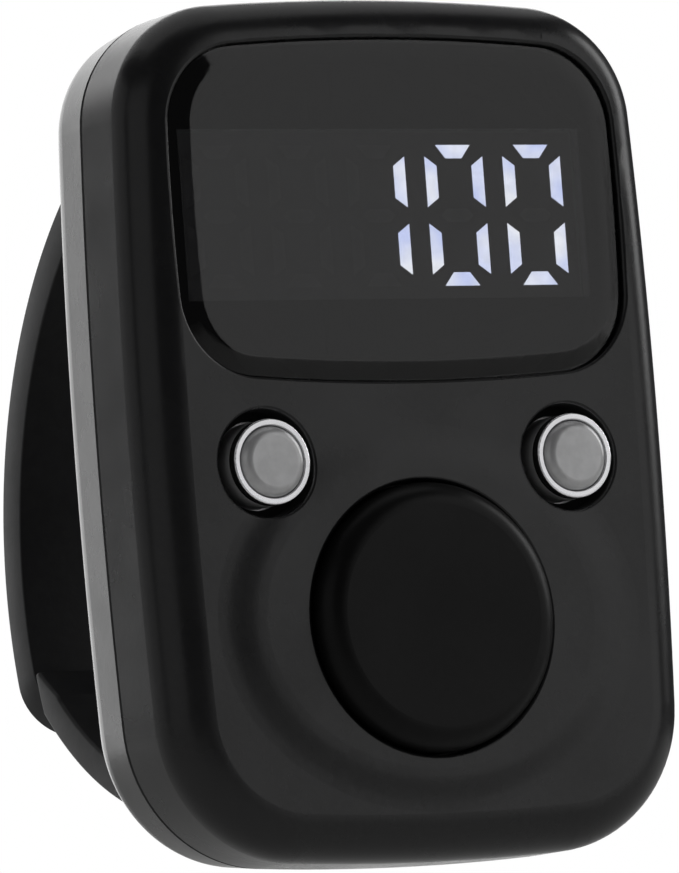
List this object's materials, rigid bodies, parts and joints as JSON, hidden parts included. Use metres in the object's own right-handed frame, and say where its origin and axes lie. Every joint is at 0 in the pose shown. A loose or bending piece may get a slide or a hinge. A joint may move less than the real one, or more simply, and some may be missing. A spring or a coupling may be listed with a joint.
{
  "type": "hand tally counter",
  "caption": "Finger-ring tally counter: rounded upright case with a digit display, a large count button, small side buttons and a curved silicone finger strap.",
  "frame": {"origin": "centre of the raised pad on the case's back, where the finger lies", "axes": "+Y from the display towards the finger, +Z towards the top of the display, +X to the reader's right"},
  "size_m": [0.0294, 0.0316, 0.0422],
  "materials": {
    "case_plastic": "satin moulded black",
    "count_cap": "fine matt black",
    "side_cap": "silver-grey, softly domed",
    "ring_chrome": "polished",
    "smoked_pane": "smoked, polished",
    "glue": "black film",
    "display_black": "moulded black",
    "diffuser_lit": "white diffuser, lit",
    "diffuser_unlit": "grey diffuser, unlit",
    "led_body": "moulded",
    "board_green": "solder mask",
    "chip_black": "moulded",
    "chip_ceramic": "sintered",
    "switch_plastic": "moulded",
    "switch_steel": "stamped",
    "switch_plunger": "moulded",
    "battery_foil": "laminated pouch",
    "foam_tape": "foam",
    "lead_insulation": "insulated wire",
    "socket_steel": "stamped",
    "strap_silicone": "soft matt silicone",
    "pin_steel": "turned",
    "screw_steel": "blackened"
  },
  "bodies": {
    "case": {"front_shell": "case_plastic", "rear_shell": "case_plastic", "case_screws": "screw_steel", "display_window": "smoked_pane", "window_adhesive": "glue", "display_housing": "display_black", "segments_lit": "diffuser_lit", "segments_unlit": "diffuser_unlit", "led_chips": "led_body", "main_board": "board_green", "controller_chip": "chip_black", "smd_parts": "chip_ceramic", "count_switch_body": "switch_plastic", "count_switch_cover": "switch_steel", "battery_cell": "battery_foil", "battery_tape": "foam_tape", "battery_leads": "lead_insulation", "charge_socket_shell": "socket_steel", "charge_socket_tongue": "chip_black", "strap_long": "strap_silicone", "strap_short": "strap_silicone", "strap_pin_top": "pin_steel", "strap_pin_bottom": "pin_steel", "left_switch_body": "switch_plastic", "left_switch_cover": "switch_steel", "right_switch_body": "switch_plastic", "right_switch_cover": "switch_steel"},
    "count_button": {"count_button": "count_cap", "count_switch_plunger": "switch_plunger"},
    "left_button": {"left_button_cap": "side_cap", "left_button_ring": "ring_chrome", "left_switch_plunger": "switch_plunger"},
    "right_button": {"right_button_cap": "side_cap", "right_button_ring": "ring_chrome", "right_switch_plunger": "switch_plunger"}
  },
  "joints": [
    {"name": "count_press", "type": "slide", "parent": "case", "child": "count_button", "axis": [0, 1, 0], "range_m": [0, 0.0004], "stiffness_N_per_m": 400, "springref_m": -0.004},
    {"name": "left_press", "type": "slide", "parent": "case", "child": "left_button", "axis": [0, 1, 0], "range_m": [0, 0.0003], "stiffness_N_per_m": 400, "springref_m": -0.003},
    {"name": "right_press", "type": "slide", "parent": "case", "child": "right_button", "axis": [0, 1, 0], "range_m": [0, 0.0003], "stiffness_N_per_m": 400, "springref_m": -0.003}
  ]
}
